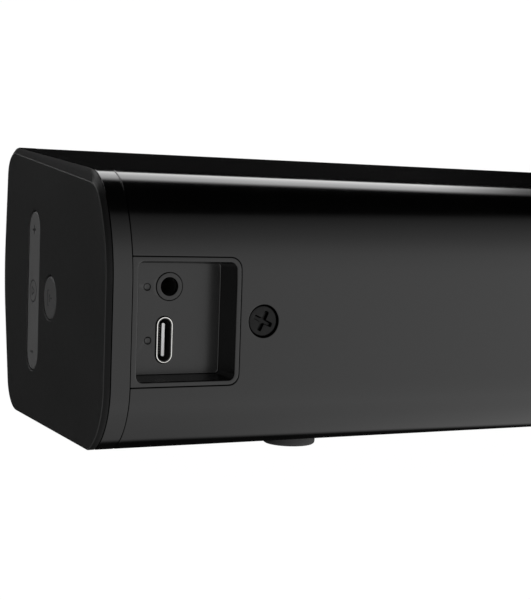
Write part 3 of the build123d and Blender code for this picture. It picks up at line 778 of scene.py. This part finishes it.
def makeRocker():
    top = boxOf("volume_rocker")[1][0] - keys["sunk"]
    y, z = keys["rocker"]
    wide, tall = keys["rockerSize"]
    edge = keys["edge"]
    face = crowned((y, z), wide / 2, top, 0.12)
    body = slab(face, stadium(np.array((y, z)), np.array((wide, tall)) - 2 * edge, 32), keys["deep"], edge,
                seeds=keySeeds(keys["seedStep"], (y - wide / 2, z - tall / 2), (y + wide / 2, z + tall / 2)))
    ribY, ribZ = keys["rib"]
    ribLoop = roundedBox((y - ribY, z - ribZ), (y + ribY, z + ribZ), [0.4] * 4, 3)
    solids = [(body, 0), (slab(facing(0, 1, top - 2.35), ribLoop, 2.2, 0.15), 0)]
    pin = [(0, top - 5.6), (keys["pinR"], top - 5.6), (keys["pinR"], top - 2.3), (0, top - 2.3)]
    plus, minus = z + keys["pinAt"], z - keys["pinAt"]
    solids += [(turned(0, (y, middle), pin, 24), 0) for middle in (minus, plus)]
    reach, lift = keys["plusReach"], keys["markLift"]
    marks = [stroke((y - reach, plus), (y + reach, plus)), stroke((y, plus - reach), (y, plus + reach)),
             stroke((y - reach, minus), (y + reach, minus))]
    triangle = bend([(y - 0.75, z - 0.95), (y + 0.95, z), (y - 0.75, z + 0.95)], [0.15] * 3, 3, closed=True)
    solids += [(bead(path, 0.5, lift, face), 1) for path in marks]
    solids.append((bead(circle((y, z), keys["ringR"])[0], 0.36, lift, face, closed=True), 1))
    solids.append((bead(triangle, 0.34, lift, face, closed=True), 1))
    makePiece("volumeRocker", solids, ["key", "mark"], ["volume_rocker"], "volume_rocker")


def makeButton():
    top = boxOf("source_button")[1][0] - keys["sunk"]
    y, z = keys["button"]
    radius, edge = keys["buttonR"], keys["edge"]
    face = crowned((y, z), radius, top, 0.1)
    cap = slab(face, circle((y, z), radius - edge, 64), keys["deep"], edge,
               seeds=keySeeds(keys["seedStep"], (y - radius, z - radius), (y + radius, z + radius)))
    flange = [(0, top - 2.35), (0, top - 3.0), (1.4, top - 3.0), (radius + 0.7, top - 3.0), (radius + 0.7, top - 2.35)]
    stem = [(0, top - 2.9), (0, top - 5.7), (1.4, top - 5.7), (1.4, top - 2.9)]
    solids = [(cap, 0), (turned(0, (y, z), flange, 64), 0), (turned(0, (y, z), stem, 32), 0)]
    # a source mark: an arrow running into an open frame
    frameMark = bend([(y + 0.2, z - 1.6), (y - 1.5, z - 1.6), (y - 1.5, z + 1.6), (y + 0.2, z + 1.6)], [0.5, 0.5], 5)
    marks = [frameMark, stroke((y + 1.7, z), (y - 0.5, z)), stroke((y + 0.3, z + 0.8), (y - 0.5, z)),
             stroke((y + 0.3, z - 0.8), (y - 0.5, z))]
    solids += [(bead(path, 0.42, keys["markLift"], face), 1) for path in marks]
    makePiece("sourceButton", solids, ["button", "mark"], ["source_button"], "source_button")


jackBore = 1.76
usb = {"wall": 0.24, "edge": 0.08, "floor": 0.4, "shadeLinerGap": 0.03, "shadeLinerWall": 0.24, "shadeLinerSunk": 0.12,
       "bladeHalf": 0.27, "bladeShort": 0.9, "contacts": 12, "contactPitch": 0.5, "contact": (4.4, 1.0, 0.12)}


def makeCollar():
    low, high = boxOf("jack_collar")
    centre, size = faceOf("jack_collar")
    collar = tube(1, centre, size[0] / 2, jackBore, low[1], high[1], [0.1, 0.1, 0.08, 0.14], 5, 64)
    makePiece("jackCollar", [(collar, 0)], ["insert"], ["jack_collar"])


def makeUsb():
    # a pressed shell round a dark liner that paints the shade inside the port, then a tongue with contacts down both
    # of its sides
    low, high = boxOf("usb_c_shell")
    centre, size = faceOf("usb_c_shell")
    wall, edge = usb["wall"], usb["edge"]
    place = facing(1, 1, high[1])
    deep = high[1] - low[1] - usb["floor"]
    pocket = {"loop": stadium(centre, size - 2 * wall + 2 * edge, 32), "profile": edgeRound(edge, deep)}
    shell = slab(place, stadium(centre, size - 2 * edge, 32), high[1] - low[1], edge, pockets=[pocket])
    shadeLining = size - 2 * wall
    # a dark sheet inside the nickel shell: painted shade in the port's mouth
    inner = {"loop": stadium(centre, shadeLining - usb["shadeLinerWall"], 32), "profile": edgeRound(0.02, deep - 0.9)}
    shadeLiner = slab(facing(1, 1, high[1] - usb["shadeLinerSunk"]), stadium(centre, shadeLining - usb["shadeLinerGap"], 32),
                 deep - 0.2, 0.01, pockets=[inner])
    makePiece("usbShell", [(shell, 0), (shadeLiner, 1)], ["nickel", "chip"], ["usb_c_shell"])

    low, high = boxOf("usb_c_tongue")
    x, half, short = centre[0], usb["bladeHalf"], usb["bladeShort"]
    outline = roundedBox((x - half, low[2] + short), (x + half, high[2] - short), [0.2] * 4, 3)
    rim = slab(facing(1, 1, high[1]), outline, 0.12, 0.04)
    shadedBlade = slab(facing(1, 1, high[1] - 0.13), outline, high[1] - low[1] - 1.1, 0.04)
    base = slab(facing(1, 1, low[1] + 1.2), stadium(centre, (high - low)[[0, 2]] - 0.2, 24), 1.1, 0.1)
    # the front rim keeps the tongue's pale resin; the blade and base behind it take the dark finish, which is painted
    # shade on the tongue's sides
    solids = [(rim, 0), (shadedBlade, 2), (base, 2)]
    count, (inward, outward, padHalf) = usb["contacts"], usb["contact"]
    for side in (-1, 1):
        for i in range(count):
            z = centre[1] + (i - (count - 1) / 2) * usb["contactPitch"]
            pad = roundedBox((high[1] - inward, z - padHalf), (high[1] - outward, z + padHalf), [0.05] * 4, 2)
            solids.append((slab(facing(0, side, x + side * 0.38), pad, 0.1, 0.02), 1))
    makePiece("usbTongue", solids, ["tongue", "plated", "chip"], ["usb_c_tongue"])


def makeLights():
    # a rod whose outer end is hollowed by an elliptical bowl: (r sin t, level - sag cos t)
    low, high = boxOf("status_lights")
    rim, sag = 0.2, 0.25
    bowl = [(lightRadius * sin(t), high[1] - rim - sag * cos(t)) for t in np.linspace(0, pi / 2, 7)]
    profile = [(0, low[1])] + bowl + [(lightRadius, low[1])]
    solids = [(turned(1, middle, profile, 32), 0) for middle in lightPlaces()]
    makePiece("statusLights", solids, ["pipe"], ["status_lights"])


def makeScrews():
    # pan heads with a tapered cross: each arm is a bar, and its walls lean in with depth
    low, high = boxOf("rear_screws")
    headR, height, edge = (high[2] - low[2]) / 2, screws["height"], screws["edge"]
    headTop = high[1]
    arm, half, tip = screws["arm"], screws["half"], screws["tip"]
    corners = []
    for quarter in range(4):
        c, s = cos(quarter * pi / 2), sin(quarter * pi / 2)
        for a, b in ((arm, -half), (arm, half), (half, half)):
            corners.append((a * c - b * s, a * s + b * c))
    cross = bend(corners, [tip, tip, 0.12] * 4, 3, closed=True)
    neck, shankR = headTop - height + 0.1, screws["shankR"]
    shank = [(0, neck), (shankR, neck), (shankR, low[1] + shankR), (0.5, low[1]), (0, low[1])]
    solids = []
    for i, x in enumerate(screws["xs"]):
        turn = radians(screws["turn"] + screws["turnStep"] * i)
        spun = cross @ np.array([[cos(turn), sin(turn)], [-sin(turn), cos(turn)]])
        centre = np.array((x, screws["z"]))
        pocket = {"loop": loopOf(spun + centre), "profile": [(0, 0), (0.04, 0.03), (0.08, 0.1), (0.24, 0.8)]}
        head = slab(facing(1, 1, headTop), circle(centre, headR - edge, 64), height, edge, pockets=[pocket])
        solids += [(head, 0), (turned(1, centre, shank, 32), 0)]
    makePiece("rearScrews", solids, ["screw"], ["rear_screws"])


def makeFeet():
    # a disc with a groove near its rim, carried round Z
    radius, lip, (a, b, c, d) = feet["radius"], feet["lip"], feet["lipRs"]
    top = boxOf("rubber_feet")[1][2]
    corners = [(0, top), (radius, top), (radius, 0.0), (radius - a, 0.0), (radius - b, lip), (radius - c, lip),
               (radius - d, 0.0), (0, 0.0)]
    profile = bend(corners, [0.4, 0.6, 0.1, 0.1, 0.1, 0.1], 4)
    solids = [(turned(2, (x, y), profile, 64), 0) for x in feet["xs"] for y in feet["ys"]]
    makePiece("rubberFeet", solids, ["foot"], ["rubber_feet"])


grille = {"pitch": 3.2, "hole": 1.12, "border": 3.4, "thick": 1.0, "edgeY": -27.2, "corner": 0.4, "edge": 0.2}
cloth = {"edgeY": -28.2, "inset": 1.05, "thick": 0.3, "margin": 0.1, "corner": 0.3, "edge": 0.05}


def makeGrille():
    # six-sided holes on a staggered grid; their cells tile the sheet, and a plain border runs round them
    along, rows = cutAcross(grille["edgeY"], False, depth=grille["thick"])
    place = wrapped(along, rows, grille["thick"])
    half = boxOf("front_grille")[1][0]
    edge, pitch, border = grille["edge"], grille["pitch"], grille["border"]
    rowStep = pitch * 3 ** 0.5 / 2
    rowsCount = int((along[-1] - 2 * border) / rowStep)
    columns = int((2 * half - 2 * border) / pitch) - 1
    i, j = np.meshgrid(np.arange(rowsCount), np.arange(columns), indexing="ij")
    x = (j - (columns - 1) / 2) * pitch + np.where(i % 2, pitch / 4, -pitch / 4)
    s = along[-1] / 2 + (i - (rowsCount - 1) / 2) * rowStep
    centres = np.stack([x.ravel(), s.ravel()], 1)
    turn = radians(30) + np.arange(6) * pi / 3
    spoke = np.stack([np.cos(turn), np.sin(turn)], 1)
    outer = centres[:, None] + spoke[None] * pitch / 3 ** 0.5
    inner = centres[:, None] + spoke[None] * grille["hole"]
    count = len(centres)
    flat = np.vstack([outer.reshape(-1, 2), inner.reshape(-1, 2)])
    cell = np.arange(count)[:, None] * 6
    k = np.arange(6)[None]
    near, far = cell + k, cell + (k + 1) % 6
    web = np.stack([near, far, far + count * 6, near + count * 6], -1).reshape(-1, 4)
    top, under = place(flat, 0), place(flat, grille["thick"])
    wall = np.stack([far + count * 6, near + count * 6, near + count * 18, far + count * 18], -1)
    wall = wall.reshape(-1, 4)[:, ::-1]
    both = np.vstack([top, under])
    # the field's zigzag edge: cell sides that no neighbour shares
    sides = np.stack([outer, np.roll(outer, -1, 1)], 2).reshape(-1, 2, 2)
    middles = np.round(sides.mean(1) * 50).astype(int) @ [100003, 1]
    _, back, times = np.unique(middles, return_inverse=True, return_counts=True)
    loose = sides[times[back] == 1]
    corners, index = np.unique(np.round(loose.reshape(-1, 2), 4), axis=0, return_inverse=True)
    zigzag = (corners, index.reshape(-1, 2))
    outline = roundedBox((-half + edge, edge), (half - edge, along[-1] - edge), [grille["corner"]] * 4, 4)
    points, triangles, borders = pierced([outline, zigzag])
    rim, quads, last = hang(points, borders[0], edgeRound(edge, grille["thick"]), place)
    below, faces, _ = pierced([last, zigzag])
    patches = [(both, np.vstack([web, (web + count * 12)[:, ::-1]])), (both, wall), (place(points, 0), triangles),
               (rim, quads), (place(below, grille["thick"]), faces[:, ::-1])]
    makePiece("frontGrille", [(patches, 0)], ["grille"], ["front_grille"])


def makeCloth():
    # a thin sheet on the front stretch of the section, moved in to lie behind the grille
    thick, margin = cloth["thick"], cloth["margin"]
    along, rows = cutAcross(cloth["edgeY"], False, inset=cloth["inset"], depth=thick)
    half = boxOf("grille_cloth")[1][0]
    outline = roundedBox((-half + margin, margin), (half - margin, along[-1] - margin), [cloth["corner"]] * 4, 3)
    sheet = slab(wrapped(along, rows, thick), outline, thick, cloth["edge"], cuts=crossCuts(along, half))
    piece = makePiece("grilleCloth", [(sheet, 0)], ["cloth"], ["grille_cloth"])


makeShell()
makeInsert()
for side in (1, -1):
    makeRing(side)
    makePanel(side)
makeRocker()
makeButton()
makeCollar()
makeUsb()
makeLights()
makeScrews()
makeFeet()
makeGrille()
makeCloth()

carried = {
    "foam": "panel_gaskets speaker_gaskets",
    "inner": "grille_frame rocker_carrier front_baffle radiator_frame battery_holder",
    "plated": "rocker_pin jack_contacts magnet_plates magnet_yokes radiator_weight board_screws",
    "board": "control_board port_board main_board radio_antenna",
    "chip": "key_switches jack_body board_chips",
    "basket": "speaker_baskets", "ferrite": "magnets", "spider": "spiders",
    "surround": "surrounds radiator_surround",
    "paper": "left_cone right_cone left_dust_cap right_dust_cap radiator_plate",
    "copper": "left_voice_coil right_voice_coil",
    "sleeve": "capacitors", "socket": "board_sockets", "sink": "heat_sink",
    "cell": "battery_cells", "lead": "internal_leads",
    "screw": "end_cap_screws speaker_screws",
}
for finish, nodes in carried.items():
    for node in nodes.split():
        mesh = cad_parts[node].data
        if len(mesh.materials):
            mesh.materials[0] = finishes[finish]
        else:
            mesh.materials.append(finishes[finish])
print("carried finishes", len(carried))


studio = {
    # direction round the bar in degrees, from +Y up and over, and the light that comes from there
    "card": [(-180, 0.008), (-112, 0.01), (-104, 0.45), (-75, 0.8), (-40, 1.12), (0, 1.1), (8, 1.08), (21, 0.96),
             (35, 0.57), (51, 0.22), (55, 0.0), (180, 0.0)],
    "strip": [(-180, 0.006), (-170, 0.0), (108, 0.0), (117, 3.1), (140, 3.4), (143, 0.003), (180, 0.006)],
    "peak": 5.0, "endLevel": 0.2, "endFrom": (0.79, 0.08), "stripFar": 0.1, "stripTo": (-0.572, 0.04),
    "turnFrom": -0.36, "spread": 0.5, "rise": 0.9, "floorGlow": 1.0, "floorCatch": 0.02, "reach": 5.0,
}


def makeLight():
    # light = (card(angle * stretch) * lift + strip(angle) * fall towards -X) * fall towards +X
    # past turnFrom towards -X the stretch falls and the lift grows in a straight line
    world = bpy.data.worlds.new("studio")
    bpy.context.scene.world = world
    world.use_nodes = True
    nodes = Nodes(world.node_tree)
    x, y, z = nodes.axes(output=0)
    angle = z.maths("ARCTAN2", z, y) * (1 / (2 * pi))
    beyond = (studio["turnFrom"] - x).atLeast(0.0)

    def ramp(name, turn):
        stops = [((at + 180) / 360, tint(level / studio["peak"])) for at, level in studio[name]]
        return nodes.add("ShaderNodeValToRGB", {"stops": stops}, {0: turn + 0.5})

    card = ramp("card", angle * (1 - studio["spread"] * beyond)) * (1 + studio["rise"] * beyond)
    far = studio["stripFar"] + (1 - studio["stripFar"]) * x.above(*studio["stripTo"])
    fall = 1 - (1 - studio["endLevel"]) * x.above(*studio["endFrom"])
    background = world.node_tree.nodes["Background"]
    nodes.plug(background.inputs["Color"], card + ramp("strip", angle) * far)
    nodes.plug(background.inputs["Strength"], fall * studio["peak"])


def makeStage():
    glow, nodes, _ = startFinish("paleBackdrop", Base_Color=tint(studio["floorCatch"]), Roughness=1.0,
                                 Specular_IOR_Level=0.0, Emission_Color=tint(1.0),
                                 Emission_Strength=studio["floorGlow"])
    # seen from beneath, the stage lets the view through
    output = glow.node_tree.nodes["Material Output"].inputs["Surface"]
    behind = nodes.add("ShaderNodeNewGeometry", output=6)
    clear = nodes.add("ShaderNodeBsdfTransparent")
    solid = Wire(nodes, glow.node_tree.nodes["Principled BSDF"].outputs[0])
    nodes.plug(output, nodes.add("ShaderNodeMixShader", None, {0: behind, 1: solid, 2: clear}))
    # a floor disc that turns up into a dome: (r cos t, r sin t) along a quarter circle, carried round Z
    reach = studio["reach"]
    turn = np.linspace(0, 2 * pi, 96, endpoint=False)
    profile = [(0.0, 0.0)] + [(reach * cos(t), reach * sin(t)) for t in np.linspace(0, pi / 2, 25)]
    radius, height = np.array(profile).T
    verts = np.stack([radius[:, None] * np.cos(turn), radius[:, None] * np.sin(turn),
                      np.repeat(height[:, None], len(turn), 1)], -1).reshape(-1, 3)
    faces = gridQuads(len(radius), len(turn))[:, ::-1]
    for name, keep in (("floor", faces[:len(turn)]), ("dome", faces[len(turn):])):
        mesh = bpy.data.meshes.new(name)
        mesh.from_pydata(verts.tolist(), [], keep.tolist())
        mesh.materials.append(glow)
        stage = bpy.data.objects.new(name, mesh)
        bpy.context.scene.collection.objects.link(stage)
        for ray in ("glossy", "diffuse", "transmission", "shadow"):
            setattr(stage, f"visible_{ray}", False)


camera = {"place": (0.2877, 0.2707, 0.0512), "azimuth": 153.82, "elevation": 4.263, "roll": 1.96, "lens": 81.4}


def makeCamera():
    turn, rise = radians(camera["azimuth"]), radians(camera["elevation"])
    back = Vector((sin(turn) * cos(rise), -cos(turn) * cos(rise), sin(rise)))
    right = Vector((0, 0, 1)).cross(back).normalized()
    upright = Matrix((right, back.cross(right), back)).transposed().to_4x4()
    data = bpy.data.cameras.new("view")
    data.lens = camera["lens"]
    data.clip_start = 0.01
    holder = bpy.data.objects.new("view", data)
    holder.matrix_world = (Matrix.Translation(camera["place"]) @ upright
                           @ Matrix.Rotation(radians(camera["roll"]), 4, "Z"))
    bpy.context.scene.collection.objects.link(holder)
    bpy.context.scene.camera = holder


makeLight()
makeStage()
makeCamera()
bpy.context.scene.view_settings.view_transform = "Standard"
